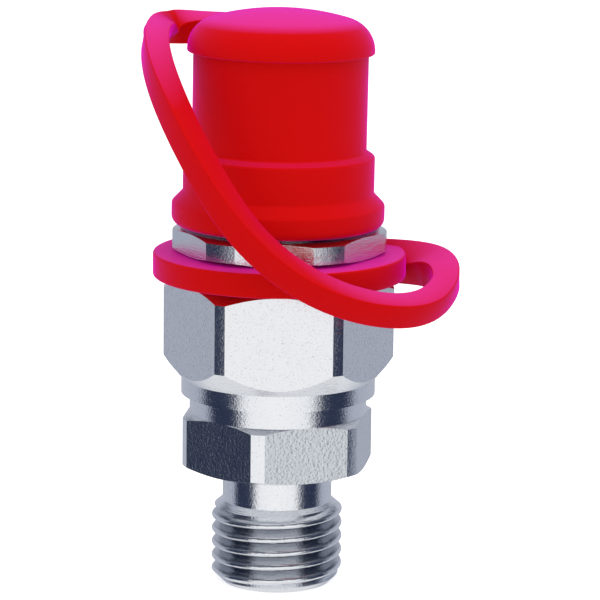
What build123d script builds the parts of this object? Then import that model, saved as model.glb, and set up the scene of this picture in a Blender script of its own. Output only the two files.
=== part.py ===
"""Test point coupling: a screw-in hydraulic coupling with a spring-loaded check valve.

A stud screws into the port of a pipe or a pump and its hexagon seats there. The coupling body is
screwed onto the stud, holds the valve and ends in a threaded nose for the gauge adapter. A moulded
dust cap covers the nose. Its strap and ring keep it on the body, and a thin nut keeps the ring.

Millimetres, +Z up the axis, origin on the axis at the shoulder that seats on the port.
"""

import math
import os

from build123d import *

# Port stud: M14 x 1.5 thread, undercut, hexagon, flange and the spigot inside the coupling body
port_thread_diameter = 14.0
port_thread_length = 12.7
port_thread_chamfer = 1.2
port_undercut_diameter = 11.7
port_undercut_width = 3.7
port_undercut_slope = 1.0
stud_hex_across_flats = 18.8
stud_hex_turned_diameter = 20.9
stud_hex_height = 6.0
stud_hex_turn = 19.1
stud_seat_face_diameter = 18.6
stud_hex_rise = 0.45
flange_diameter = 18.9
flange_height = 2.0
spigot_thread_diameter = 14.0
spigot_length = 5.8
port_bore_diameter = 5.0
spring_bore_diameter = 7.2
spring_bore_depth = 7.8
body_seal_groove_diameter = 11.0
body_seal_groove_width = 1.8
body_seal_groove_offset = 0.4
body_seal_section = 1.44

# Coupling body: collar, hexagon, ring neck, nut thread and nose. The nose's thread is the driving
# size of the body, the nut, the ring and the cap, which stand on it with their own walls.
nose_thread_diameter = 16.0
collar_diameter = nose_thread_diameter + 4.7
collar_height = 1.7
body_hex_across_flats = nose_thread_diameter + 5.8
body_hex_turned_diameter = nose_thread_diameter + 8.5
body_hex_height = 10.8
body_hex_turn = 0.65
body_hex_bottom_rise = 2.3
body_hex_top_diameter = nose_thread_diameter + 4.8
body_hex_top_rise = 1.2
nut_thread_diameter = nose_thread_diameter + 2.0
ring_neck_diameter = nut_thread_diameter + 0.6
nose_undercut_diameter = nose_thread_diameter - 2.2
nose_undercut_width = 1.8
nose_length = 17.8
nose_chamfer = 1.0
spigot_socket_clearance = 0.05
spigot_end_clearance = 0.2
valve_chamber_diameter = 8.0
valve_seat_height = 23.0
valve_passage_diameter = 4.4
probe_bore_diameter = 6.0
probe_bore_floor = 30.0
seal_pocket_diameter = 9.2
seal_pocket_depth = 6.6

# Thin nut above the strap ring
nut_across_flats = nut_thread_diameter + 3.2
nut_turned_diameter = nut_thread_diameter + 4.7
nut_height = 2.5
nut_turn = -2.45
nut_face_diameter = nut_thread_diameter + 3.0
nut_edge_rise = 0.35
nut_thread_clearance = 0.02

# Valve: poppet with its seal, spring and spring seat
poppet_clearance = 0.1
poppet_guide_height = 3.0
poppet_guide_top_below_seat = 1.6
poppet_plug_diameter = 6.7
poppet_cone_top_diameter = 4.0
poppet_seat_clearance = 0.35
poppet_stem_diameter = 2.2
poppet_stem_top = 31.5
poppet_tail_diameter = 2.0
poppet_tail_below_seat = 1.2
poppet_flute_diameter = 2.4
poppet_flutes = 3
poppet_seal_section = 0.9
poppet_seal_diameter = 5.7
poppet_seal_clearance = 0.03
spring_wire = 0.7
spring_turns = 7
spring_end_clearance = 0.05
spring_coil_diameter = 5.6
spring_seat_thickness = 0.8
spring_seat_clearance = 0.05
spring_seat_guide_clearance = 0.08
spring_seat_flow_hole = 1.0
spring_seat_flow_holes = 3

# Seals in the nose, held by a pressed-in bush
backup_ring_thickness = 0.8
backup_ring_clearance = 0.05
probe_seal_section = 1.5
probe_seal_clearance = 0.02
bush_bore_clearance = 0.05
bush_height = 3.4
bush_mouth_chamfer = 0.4
bush_seal_gap = 0.1

# Dust cap, strap and ring: one soft moulding on the real thing
ring_thickness = 2.6
ring_outer_diameter = ring_neck_diameter + 8.2
ring_bore_clearance = 0.08
ring_end_clearance = 0.1
ring_edge_round = 0.5
strap_width = 2.4
strap_thickness = 2.5
cap_gap_above_nut = 0.3
cap_mouth_diameter = nose_thread_diameter + 1.8
cap_mouth_depth = 6.9
cap_bore_clearance = 0.25
cap_nose_gap = 0.4
cap_bead_diameter = nose_thread_diameter + 6.5
cap_bead_land = 1.4
cap_bead_bottom_round = 0.9
cap_bead_slope_height = 1.2
cap_lower_diameter = nose_thread_diameter + 4.2
cap_lower_height = 7.4
cap_step_height = 0.6
cap_upper_diameter = nose_thread_diameter + 2.4
cap_rim_diameter = nose_thread_diameter + 3.7
cap_rim_height = 18.25
cap_rim_land = 0.25
cap_rim_round = 3.4
cap_dome_edge_angle = 74.0
cap_core_diameter = nose_thread_diameter - 4.0
cap_core_height = 2.8

# The strap's route from the cap's rim round the front to the ring, as spline control points,
# each with the direction that the strap's upper face looks in
strap_route = [
    ((-2.9, 9.0, 45.7), (0.0, -0.3, 1.0)),
    ((-9.9, 9.8, 45.8), (0.1, -0.1, 1.0)),
    ((-12.9, 9.0, 45.9), (0.2, -0.9, 0.4)),
    ((-13.0, 5.9, 45.9), (-0.1, -1.0, -0.1)),
    ((-13.4, 0.9, 45.4), (0.1, -1.0, 0.3)),
    ((-12.8, -4.8, 43.1), (0.3, -0.8, 0.5)),
    ((-10.7, -10.1, 38.9), (0.5, -0.6, 0.6)),
    ((-7.5, -14.0, 33.5), (0.5, -0.5, 0.7)),
    ((-3.8, -16.1, 27.9), (0.5, -0.3, 0.8)),
    ((1.2, -16.4, 23.5), (0.4, -0.4, 0.8)),
    ((6.8, -15.3, 20.6), (0.3, -0.4, 0.9)),
    ((12.2, -13.0, 19.2), (0.2, -0.3, 0.9)),
    ((15.9, -9.5, 19.3), (0.2, -0.4, 0.9)),
    ((17.7, -5.2, 20.8), (0.0, -0.5, 0.9)),
    ((17.8, -1.0, 22.1), (-0.1, -0.5, 0.9)),
    ((15.4, 2.8, 22.2), (-0.2, -0.6, 0.8)),
    ((10.2, 6.0, 21.8), (-0.3, -0.7, 0.7)),
]
strap_sections = 56
strap_clearance = 0.15

# Heights worked out from the sizes above
flange_top = stud_hex_height + flange_height
spigot_top = flange_top + spigot_length
spring_seat_floor = spigot_top - spring_bore_depth
spring_floor = spring_seat_floor + spring_seat_thickness
collar_top = flange_top + collar_height
hex_top = collar_top + body_hex_height
nut_floor = hex_top + ring_thickness + 2 * ring_end_clearance
nut_top = nut_floor + nut_height
nose_top = nut_top + nose_length
seal_pocket_floor = nose_top - seal_pocket_depth
socket_roof = spigot_top + spigot_end_clearance
cap_floor = nut_top + cap_gap_above_nut
os.makedirs("parts", exist_ok=True)


def turned_hexagon(across_flats, turned_diameter, floor, height, ends, rises, turn):
    """A hexagon with its corners turned down to a diameter and its two ends chamfered to others."""
    with BuildPart() as envelope:
        with BuildSketch(Plane.XZ):
            with BuildLine():
                Polyline(
                    (0, floor),
                    (ends[0] / 2, floor),
                    (turned_diameter / 2, floor + rises[0]),
                    (turned_diameter / 2, floor + height - rises[1]),
                    (ends[1] / 2, floor + height),
                    (0, floor + height),
                    close=True,
                )
            make_face()
        revolve(axis=Axis.Z)
    with BuildPart() as hexagon:
        with BuildSketch(Plane.XY.offset(floor)):
            RegularPolygon(across_flats / 2, 6, major_radius=False, rotation=turn)
        extrude(amount=height)
        add(envelope.part, mode=Mode.INTERSECT)
    return hexagon.part


def spline_weights(position, count):
    """Weights of a clamped cubic spline's control points at a position from 0 to 1."""
    spans = count - 3
    knots = [0.0] * 3 + [span / spans for span in range(spans + 1)] + [1.0] * 3
    at = min(position, 1 - 1e-9)
    weights = [float(low <= at < high) for low, high in zip(knots, knots[1:])]
    for degree in (1, 2, 3):
        raised = []
        for index in range(len(weights) - 1):
            rise = knots[index + degree] - knots[index]
            fall = knots[index + degree + 1] - knots[index + 1]
            left = weights[index] * (at - knots[index]) / rise if rise else 0.0
            right = weights[index + 1] * (knots[index + degree + 1] - at) / fall if fall else 0.0
            raised.append(left + right)
        weights = raised
    return weights


def route_value(position, column):
    """A point of the strap's middle line (column 0) or its upper face's direction (column 1)."""
    weights = spline_weights(position, len(strap_route))
    value = Vector(0, 0, 0)
    for weight, row in zip(weights, strap_route):
        value += Vector(*row[column]) * weight
    return value


def strap_plane(section):
    """The plane across the strap at a section, with X across its width and Y up its thickness."""
    position = section / strap_sections
    step = 0.25 / strap_sections
    here = route_value(position, 0)
    ahead = route_value(min(position + step, 1.0), 0)
    behind = route_value(max(position - step, 0.0), 0)
    along = (ahead - behind).normalized()
    across = route_value(position, 1).cross(along).normalized()
    return Plane(origin=here, x_dir=-across, z_dir=along)


def strap_stretch(first, last):
    """The strap's solid between two of its sections."""
    with BuildPart() as stretch:
        for section in range(first, last + 1):
            with BuildSketch(strap_plane(section)):
                Rectangle(strap_width, strap_thickness)
        loft(ruled=True)
    return stretch.part


# Port stud: thread and undercut, hexagon, flange and spigot, with the port's bore through it
thread_root = port_undercut_diameter / 2
seal_groove_floor = flange_top + body_seal_groove_offset
with BuildPart() as port_stud:
    with BuildSketch(Plane.XZ):
        with BuildLine():
            Polyline(
                (0, -port_thread_length),
                (port_thread_diameter / 2 - port_thread_chamfer, -port_thread_length),
                (port_thread_diameter / 2, -port_thread_length + port_thread_chamfer),
                (port_thread_diameter / 2, -port_undercut_width - port_undercut_slope),
                (thread_root, -port_undercut_width),
                (thread_root, stud_hex_height),
                (flange_diameter / 2, stud_hex_height),
                (flange_diameter / 2, flange_top),
                (spigot_thread_diameter / 2, flange_top),
                (spigot_thread_diameter / 2, spigot_top),
                (0, spigot_top),
                close=True,
            )
        make_face()
    revolve(axis=Axis.Z)
    add(
        turned_hexagon(
            stud_hex_across_flats,
            stud_hex_turned_diameter,
            0,
            stud_hex_height,
            (stud_seat_face_diameter, flange_diameter),
            (stud_hex_rise, stud_hex_rise),
            stud_hex_turn,
        )
    )
    with BuildSketch(Plane.XY.offset(seal_groove_floor)):
        Circle(spigot_thread_diameter / 2)
        Circle(body_seal_groove_diameter / 2, mode=Mode.SUBTRACT)
    extrude(amount=body_seal_groove_width, mode=Mode.SUBTRACT)
    with BuildSketch(Plane.XY.offset(-port_thread_length)):
        Circle(port_bore_diameter / 2)
    extrude(amount=port_thread_length + spigot_top, mode=Mode.SUBTRACT)
    with BuildSketch(Plane.XY.offset(spring_seat_floor)):
        Circle(spring_bore_diameter / 2)
    extrude(amount=spring_bore_depth, mode=Mode.SUBTRACT)
port_stud.part.label = "port_stud"
export_step(port_stud.part, "parts/port_stud.step")

# O-ring in the spigot's groove
body_seal_radius = body_seal_groove_diameter / 2 + body_seal_section / 2 + probe_seal_clearance
with BuildPart() as body_seal:
    with BuildSketch(Plane.XZ):
        with Locations((body_seal_radius, seal_groove_floor + body_seal_groove_width / 2)):
            Circle(body_seal_section / 2)
    revolve(axis=Axis.Z)
body_seal.part.label = "body_seal"
export_step(body_seal.part, "parts/body_seal.step")

# Coupling body: collar, hexagon, ring neck, nut thread and threaded nose, bored for the valve
chamber_radius = valve_chamber_diameter / 2
passage_radius = valve_passage_diameter / 2
seat_top = valve_seat_height + chamber_radius - passage_radius
with BuildPart() as coupling_body:
    with BuildSketch(Plane.XZ):
        with BuildLine():
            Polyline(
                (0, flange_top),
                (collar_diameter / 2, flange_top),
                (collar_diameter / 2, collar_top),
                (ring_neck_diameter / 2, collar_top),
                (ring_neck_diameter / 2, nut_floor),
                (nut_thread_diameter / 2, nut_floor),
                (nut_thread_diameter / 2, nut_top),
                (nose_undercut_diameter / 2, nut_top),
                (nose_undercut_diameter / 2, nut_top + nose_undercut_width),
                (nose_thread_diameter / 2, nut_top + nose_undercut_width),
                (nose_thread_diameter / 2, nose_top - nose_chamfer),
                (nose_thread_diameter / 2 - nose_chamfer, nose_top),
                (0, nose_top),
                close=True,
            )
        make_face()
    revolve(axis=Axis.Z)
    add(
        turned_hexagon(
            body_hex_across_flats,
            body_hex_turned_diameter,
            collar_top,
            body_hex_height,
            (collar_diameter, body_hex_top_diameter),
            (body_hex_bottom_rise, body_hex_top_rise),
            body_hex_turn,
        )
    )
    with BuildSketch(Plane.XZ):
        with BuildLine():
            Polyline(
                (0, flange_top),
                (spigot_thread_diameter / 2 + spigot_socket_clearance, flange_top),
                (spigot_thread_diameter / 2 + spigot_socket_clearance, socket_roof),
                (chamber_radius, socket_roof),
                (chamber_radius, valve_seat_height),
                (passage_radius, seat_top),
                (passage_radius, probe_bore_floor),
                (probe_bore_diameter / 2, probe_bore_floor),
                (probe_bore_diameter / 2, seal_pocket_floor),
                (seal_pocket_diameter / 2, seal_pocket_floor),
                (seal_pocket_diameter / 2, nose_top),
                (0, nose_top),
                close=True,
            )
        make_face()
    revolve(axis=Axis.Z, mode=Mode.SUBTRACT)
coupling_body.part.label = "coupling_body"
export_step(coupling_body.part, "parts/coupling_body.step")

# Thin nut that keeps the strap ring on its neck
with BuildPart() as retaining_nut:
    add(
        turned_hexagon(
            nut_across_flats,
            nut_turned_diameter,
            nut_floor,
            nut_height,
            (nut_face_diameter, nut_face_diameter),
            (nut_edge_rise, nut_edge_rise),
            nut_turn,
        )
    )
    with BuildSketch(Plane.XY.offset(nut_floor)):
        Circle(nut_thread_diameter / 2 + nut_thread_clearance)
    extrude(amount=nut_height, mode=Mode.SUBTRACT)
retaining_nut.part.label = "retaining_nut"
export_step(retaining_nut.part, "parts/retaining_nut.step")

# Perforated seat of the valve spring, which also guides the poppet's tail
spring_seat_radius = spring_bore_diameter / 2 - spring_seat_clearance
tail_guide_radius = poppet_tail_diameter / 2 + spring_seat_guide_clearance
flow_hole_circle = (tail_guide_radius + port_bore_diameter / 2) / 2
with BuildPart() as spring_seat:
    with BuildSketch(Plane.XY.offset(spring_seat_floor)):
        Circle(spring_seat_radius)
        Circle(tail_guide_radius, mode=Mode.SUBTRACT)
        with PolarLocations(flow_hole_circle, spring_seat_flow_holes):
            Circle(spring_seat_flow_hole / 2, mode=Mode.SUBTRACT)
    extrude(amount=spring_seat_thickness)
spring_seat.part.label = "spring_seat"
export_step(spring_seat.part, "parts/spring_seat.step")

# Poppet: stem, sealing cone with the groove of its seal, fluted guide and tail. The seat's cone is
# at 45 degrees, so radius and height add up to the same sum all along it.
guide_radius = chamber_radius - poppet_clearance
guide_top = valve_seat_height - poppet_guide_top_below_seat
guide_floor = guide_top - poppet_guide_height
seat_sum = chamber_radius + valve_seat_height
cone_sum = seat_sum - poppet_seat_clearance
seal_sum = seat_sum - (poppet_seal_section / 2 + poppet_seal_clearance) * math.sqrt(2)
poppet_seal_height = seal_sum - poppet_seal_diameter / 2
tail_end = spring_seat_floor - poppet_tail_below_seat
with BuildPart() as valve_poppet:
    with BuildSketch(Plane.XZ):
        with BuildLine():
            Polyline(
                (0, tail_end),
                (poppet_tail_diameter / 2, tail_end),
                (poppet_tail_diameter / 2, guide_floor),
                (guide_radius, guide_floor),
                (guide_radius, guide_top),
                (poppet_plug_diameter / 2, guide_top),
                (poppet_plug_diameter / 2, cone_sum - poppet_plug_diameter / 2),
                (poppet_cone_top_diameter / 2, cone_sum - poppet_cone_top_diameter / 2),
                (poppet_stem_diameter / 2, cone_sum - poppet_cone_top_diameter / 2),
                (poppet_stem_diameter / 2, poppet_stem_top),
                (0, poppet_stem_top),
                close=True,
            )
        make_face()
    revolve(axis=Axis.Z)
    with BuildSketch(Plane.XY.offset(guide_floor)):
        with PolarLocations(guide_radius, poppet_flutes):
            Circle(poppet_flute_diameter / 2)
    extrude(amount=poppet_guide_height, mode=Mode.SUBTRACT)
    with BuildSketch(Plane.XZ):
        with Locations((poppet_seal_diameter / 2, poppet_seal_height)):
            Circle(poppet_seal_section / 2 + poppet_seal_clearance)
    revolve(axis=Axis.Z, mode=Mode.SUBTRACT)
valve_poppet.part.label = "valve_poppet"
export_step(valve_poppet.part, "parts/valve_poppet.step")

# O-ring on the poppet's cone
with BuildPart() as poppet_seal:
    with BuildSketch(Plane.XZ):
        with Locations((poppet_seal_diameter / 2, poppet_seal_height)):
            Circle(poppet_seal_section / 2)
    revolve(axis=Axis.Z)
poppet_seal.part.label = "poppet_seal"
export_step(poppet_seal.part, "parts/poppet_seal.step")

# Valve spring between its seat and the poppet's guide
spring_start = spring_floor + spring_end_clearance + spring_wire / 2
spring_height = guide_floor - spring_end_clearance - spring_wire / 2 - spring_start
with BuildPart() as valve_spring:
    with BuildLine(Plane.XY.offset(spring_start)):
        coil = Helix(spring_height / spring_turns, spring_height, spring_coil_diameter / 2)
    with BuildSketch(Plane(origin=coil @ 0, z_dir=coil % 0)):
        Circle(spring_wire / 2)
    sweep(path=coil, is_frenet=True)
valve_spring.part.label = "valve_spring"
export_step(valve_spring.part, "parts/valve_spring.step")

# Back-up ring, O-ring and pressed-in bush that seal the gauge adapter's probe in the nose
pocket_radius = seal_pocket_diameter / 2
bush_bore_radius = probe_bore_diameter / 2 + bush_bore_clearance
with BuildPart() as backup_ring:
    with BuildSketch(Plane.XY.offset(seal_pocket_floor)):
        Circle(pocket_radius - backup_ring_clearance)
        Circle(bush_bore_radius + backup_ring_clearance, mode=Mode.SUBTRACT)
    extrude(amount=backup_ring_thickness)
backup_ring.part.label = "backup_ring"
export_step(backup_ring.part, "parts/backup_ring.step")

probe_seal_height = (
    seal_pocket_floor + backup_ring_thickness + probe_seal_clearance + probe_seal_section / 2
)
with BuildPart() as probe_seal:
    with BuildSketch(Plane.XZ):
        with Locations((pocket_radius - probe_seal_clearance - probe_seal_section / 2, probe_seal_height)):
            Circle(probe_seal_section / 2)
    revolve(axis=Axis.Z)
probe_seal.part.label = "probe_seal"
export_step(probe_seal.part, "parts/probe_seal.step")

bush_floor = probe_seal_height + probe_seal_section / 2 + bush_seal_gap
with BuildPart() as seal_bush:
    with BuildSketch(Plane.XY.offset(bush_floor)):
        Circle(pocket_radius)
        Circle(bush_bore_radius, mode=Mode.SUBTRACT)
    extrude(amount=bush_height)
    chamfer(seal_bush.edges().group_by(Axis.Z)[-1].sort_by(SortBy.RADIUS)[0], bush_mouth_chamfer)
seal_bush.part.label = "seal_bush"
export_step(seal_bush.part, "parts/seal_bush.step")


def strap_distance(section):
    """How near the strap's outline comes to the axis at a section."""
    across = strap_plane(section)
    halves = [(x * strap_width / 2, y * strap_thickness / 2) for x in (-1, 0, 1) for y in (-1, 0, 1)]
    corners = [across.from_local_coords(Vector(x, y, 0)) for x, y in halves]
    return min(math.hypot(corner.X, corner.Y) for corner in corners)


# The strap leaves the cap and meets the ring where it first clears their round outlines
cap_lug_end = next(
    section
    for section in range(strap_sections)
    if strap_distance(section) > cap_rim_diameter / 2 + strap_clearance
)
ring_lug_start = next(
    section
    for section in range(strap_sections, 0, -1)
    if strap_distance(section) > ring_outer_diameter / 2 + strap_clearance
)

# Strap ring: turns in the gap between the hexagon and the nut, and carries the strap's root
with BuildPart() as strap_ring:
    with BuildSketch(Plane.XY.offset(hex_top + ring_end_clearance)):
        Circle(ring_outer_diameter / 2)
    extrude(amount=ring_thickness)
    fillet(strap_ring.edges(), ring_edge_round)
    add(strap_stretch(ring_lug_start, strap_sections))
    with BuildSketch(Plane.XY.offset(hex_top + ring_end_clearance)):
        Circle(ring_neck_diameter / 2 + ring_bore_clearance)
    extrude(until=Until.LAST, mode=Mode.SUBTRACT)
strap_ring.part.label = "strap_ring"
export_step(strap_ring.part, "parts/strap_ring.step")

# Strap between the cap's lug and the ring's
with BuildPart() as cap_strap:
    add(strap_stretch(cap_lug_end, ring_lug_start))
cap_strap.part.label = "cap_strap"
export_step(cap_strap.part, "parts/cap_strap.step")

# Dust cap: bead, two plain barrels, overhanging rim and domed top, hollow over the nose
bead_radius = cap_bead_diameter / 2
rim_radius = cap_rim_diameter / 2
bead_land_floor = cap_floor + cap_bead_bottom_round
bead_land_top = bead_land_floor + cap_bead_land
step_floor = cap_floor + cap_lower_height
rim_floor = cap_floor + cap_rim_height
rim_top = rim_floor + cap_rim_land
dome_edge = math.radians(cap_dome_edge_angle)
dome_radius = (rim_radius - cap_rim_round) / math.cos(dome_edge) + cap_rim_round
dome_centre = rim_top + (cap_rim_round - dome_radius) * math.sin(dome_edge)
cap_ceiling = nose_top + cap_nose_gap
cap_bore_radius = nose_thread_diameter / 2 + cap_bore_clearance
with BuildPart() as dust_cap:
    with BuildSketch(Plane.XZ):
        with BuildLine():
            Polyline(
                (0, dome_centre + dome_radius),
                (0, cap_floor),
                (bead_radius - cap_bead_bottom_round, cap_floor),
            )
            CenterArc(
                (bead_radius - cap_bead_bottom_round, bead_land_floor), cap_bead_bottom_round, -90, 90
            )
            Polyline(
                (bead_radius, bead_land_floor),
                (bead_radius, bead_land_top),
                (cap_lower_diameter / 2, bead_land_top + cap_bead_slope_height),
                (cap_lower_diameter / 2, step_floor),
                (cap_upper_diameter / 2, step_floor + cap_step_height),
                (cap_upper_diameter / 2, rim_floor),
                (rim_radius, rim_floor),
                (rim_radius, rim_top),
            )
            CenterArc((rim_radius - cap_rim_round, rim_top), cap_rim_round, 0, cap_dome_edge_angle)
            CenterArc((0, dome_centre), dome_radius, cap_dome_edge_angle, 90 - cap_dome_edge_angle)
        make_face()
    revolve(axis=Axis.Z)
    add(strap_stretch(0, cap_lug_end))
    with BuildSketch(Plane.XZ):
        with BuildLine():
            Polyline(
                (0, cap_floor),
                (cap_mouth_diameter / 2, cap_floor),
                (cap_mouth_diameter / 2, cap_floor + cap_mouth_depth),
                (cap_bore_radius, cap_floor + cap_mouth_depth),
                (cap_bore_radius, cap_ceiling),
                (cap_core_diameter / 2, cap_ceiling),
                (cap_core_diameter / 2, cap_ceiling + cap_core_height),
                (0, cap_ceiling + cap_core_height),
                close=True,
            )
        make_face()
    revolve(axis=Axis.Z, mode=Mode.SUBTRACT)
dust_cap.part.label = "dust_cap"
export_step(dust_cap.part, "parts/dust_cap.step")
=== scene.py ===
"""Looks of a test point coupling, built round its CAD frame: threads, moulded cap, ring and strap.

Metres, +Z up the axis, origin on the axis at the shoulder that seats on the port.
"""

import logging
import math
from collections.abc import Callable, Iterator
from contextlib import contextmanager
from dataclasses import dataclass, field
from enum import Enum

import bmesh
import bpy
from mathutils import Matrix, Quaternion, Vector


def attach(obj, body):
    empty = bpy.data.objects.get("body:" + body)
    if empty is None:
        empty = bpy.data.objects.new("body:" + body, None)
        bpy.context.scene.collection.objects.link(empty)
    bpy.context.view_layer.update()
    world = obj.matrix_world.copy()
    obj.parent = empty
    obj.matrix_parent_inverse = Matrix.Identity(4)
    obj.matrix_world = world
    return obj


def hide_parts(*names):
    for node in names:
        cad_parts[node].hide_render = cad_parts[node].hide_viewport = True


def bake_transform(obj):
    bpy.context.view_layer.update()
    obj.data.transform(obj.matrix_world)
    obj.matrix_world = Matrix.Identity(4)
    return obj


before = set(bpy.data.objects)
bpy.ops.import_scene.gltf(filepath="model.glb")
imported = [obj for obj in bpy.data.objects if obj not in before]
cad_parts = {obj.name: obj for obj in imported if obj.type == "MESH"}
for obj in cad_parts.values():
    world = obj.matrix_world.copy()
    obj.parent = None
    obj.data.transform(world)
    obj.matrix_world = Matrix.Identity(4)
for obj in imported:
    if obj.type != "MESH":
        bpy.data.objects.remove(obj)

MM = 0.001
MERGE = 1e-7
BEVEL_ABOVE = math.radians(25)
LOG = logging.getLogger("test_point_coupling")
Station = tuple[float, float]
Triple = tuple[float, float, float]
Socket = bpy.types.NodeSocket


class Slot(Enum):
    """Material slots of the record."""

    ZINC = "zinc_plated_steel"
    VALVE = "valve_steel"
    MOULDING = "red_plastic"


class Body(Enum):
    """Bodies that move against each other."""

    FITTING = "fitting"
    POPPET = "poppet"
    RING = "ring"
    CAP = "cap"


# Modelling tools


def pick_only(obj: bpy.types.Object) -> None:
    """Selects one object and makes it the active one.

    Args:
        obj: The object to work on.
    """
    bpy.ops.object.select_all(action="DESELECT")
    obj.select_set(True)
    bpy.context.view_layer.objects.active = obj


@contextmanager
def editing(obj: bpy.types.Object) -> Iterator[None]:
    """Edit mode on one object, left again at the end.

    Args:
        obj: The object to edit.
    """
    pick_only(obj)
    bpy.ops.object.mode_set(mode="EDIT")
    bpy.ops.mesh.select_mode(type="VERT")
    try:
        yield
    finally:
        bpy.ops.object.mode_set(mode="OBJECT")


def select_points(obj: bpy.types.Object, wanted: Callable[[Vector], bool]) -> None:
    """Selects the points of a mesh in edit mode by their place.

    Args:
        obj: The object, in edit mode.
        wanted: Tells from a point's place whether it is selected.
    """
    mesh = bmesh.from_edit_mesh(obj.data)
    bpy.ops.mesh.select_all(action="DESELECT")
    for vert in mesh.verts:
        vert.select = wanted(vert.co)
    mesh.select_flush_mode()
    bmesh.update_edit_mesh(obj.data)


def apply_modifier(obj: bpy.types.Object, kind: str, **settings: object) -> None:
    """Adds a modifier with its settings and applies it.

    Args:
        obj: The object that gets it.
        kind: The modifier's type.
        settings: Its settings by name.
    """
    pick_only(obj)
    modifier = obj.modifiers.new(kind.lower(), kind)
    for name, value in settings.items():
        setattr(modifier, name, value)
    bpy.ops.object.modifier_apply(modifier=modifier.name)


def extrude(move: Triple) -> None:
    """Extrudes what is selected in edit mode.

    Args:
        move: How far the new part moves, in metres.
    """
    bpy.ops.mesh.extrude_region_move(TRANSFORM_OT_translate={"value": move})


def pick_all() -> None:
    """Selects the whole mesh in edit mode."""
    bpy.ops.mesh.select_all(action="SELECT")


def close_up() -> None:
    """Merges the doubles of the mesh in edit mode and turns its faces outwards."""
    pick_all()
    bpy.ops.mesh.remove_doubles(threshold=MERGE)
    bpy.ops.mesh.normals_make_consistent(inside=False)


def round_edges(obj: bpy.types.Object, width: float, segments: int) -> None:
    """Rounds an object's sharp edges.

    Args:
        obj: The object.
        width: The rounding's width in metres.
        segments: Number of facets across it.
    """
    apply_modifier(
        obj,
        "BEVEL",
        limit_method="ANGLE",
        angle_limit=BEVEL_ABOVE,
        width=width,
        segments=segments,
    )


def tidy_mesh(obj: bpy.types.Object, smooth_below: float = 22.0) -> None:
    """Merges doubles, turns the faces outwards and shades smooth up to an angle.

    Args:
        obj: The object to finish.
        smooth_below: Faces that meet at less than this many degrees shade as one.
    """
    with editing(obj):
        close_up()
    pick_only(obj)
    bpy.ops.object.shade_smooth_by_angle(angle=math.radians(smooth_below))


@dataclass
class Lathe:
    """A turned shape, made ring by ring as on a lathe."""

    name: str
    segments: int = 160
    height_within: float = 1e-6
    radius_within: float = 1e-5
    obj: bpy.types.Object | None = None
    at: Station = (0.0, 0.0)

    def start(self, radius: float, height: float) -> None:
        """Lays the first ring.

        Args:
            radius: Its radius in metres.
            height: Its height in metres.
        """
        bpy.ops.object.select_all(action="DESELECT")
        bpy.ops.mesh.primitive_circle_add(
            vertices=self.segments, radius=radius, fill_type="NOTHING", location=(0, 0, height)
        )
        self.obj = bpy.context.active_object
        self.obj.name = self.name
        bpy.ops.object.transform_apply(location=True, rotation=True, scale=True)
        self.at = (radius, height)

    def turn(self, stations: list[Station]) -> None:
        """Extrudes the selected ring through a list of stations.

        Args:
            stations: Radius and height of each next ring, in metres.
        """
        for radius, height in stations:
            extrude((0, 0, height - self.at[1]))
            share = radius / self.at[0]
            bpy.ops.transform.resize(value=(share, share, 1), center_override=(0, 0, height))
            self.at = (radius, height)

    def close_on_axis(self, height: float) -> None:
        """Draws the selected ring in to a point on the axis.

        Args:
            height: Height of the point in metres.
        """
        extrude((0, 0, height - self.at[1]))
        bpy.ops.mesh.merge(type="CENTER")

    def return_to(self, radius: float, height: float) -> None:
        """Selects an earlier ring again, to turn on from there.

        Args:
            radius: The ring's radius in metres.
            height: The ring's height in metres.
        """
        select_points(
            self.obj,
            lambda co: abs(co.z - height) < self.height_within
            and abs(math.hypot(co.x, co.y) - radius) < self.radius_within,
        )
        self.at = (radius, height)


def arc(centre: Station, radius: float, first: float, last: float, steps: int) -> list[Station]:
    """Stations on an arc of a turned profile.

    Args:
        centre: Radius and height of the arc's centre.
        radius: The arc's radius.
        first: Angle of its first station in degrees, from the outward direction towards up.
        last: Angle of its last station in degrees.
        steps: Number of stations after the first.

    Returns:
        The stations, both ends included.
    """
    turns = [math.radians(first + (last - first) * step / steps) for step in range(steps + 1)]
    return [
        (centre[0] + radius * math.cos(turn), centre[1] + radius * math.sin(turn)) for turn in turns
    ]


def copy_of_node(node: str, name: str) -> bpy.types.Object:
    """A piece that starts as a merged copy of a CAD node's mesh.

    Args:
        node: The CAD node.
        name: The new piece's name.

    Returns:
        The new object, with a mesh of its own.
    """
    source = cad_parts[node]
    piece = bpy.data.objects.new(name, source.data.copy())
    bpy.context.scene.collection.objects.link(piece)
    pick_only(piece)
    bpy.ops.mesh.customdata_custom_splitnormals_clear()
    with editing(piece):
        pick_all()
        bpy.ops.mesh.remove_doubles(threshold=MERGE)
    return piece


def dress(obj: bpy.types.Object, material: bpy.types.Material) -> None:
    """Gives an object one material.

    Args:
        obj: The object.
        material: Its material.
    """
    obj.data.materials.clear()
    obj.data.materials.append(material)


# Threads


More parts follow.
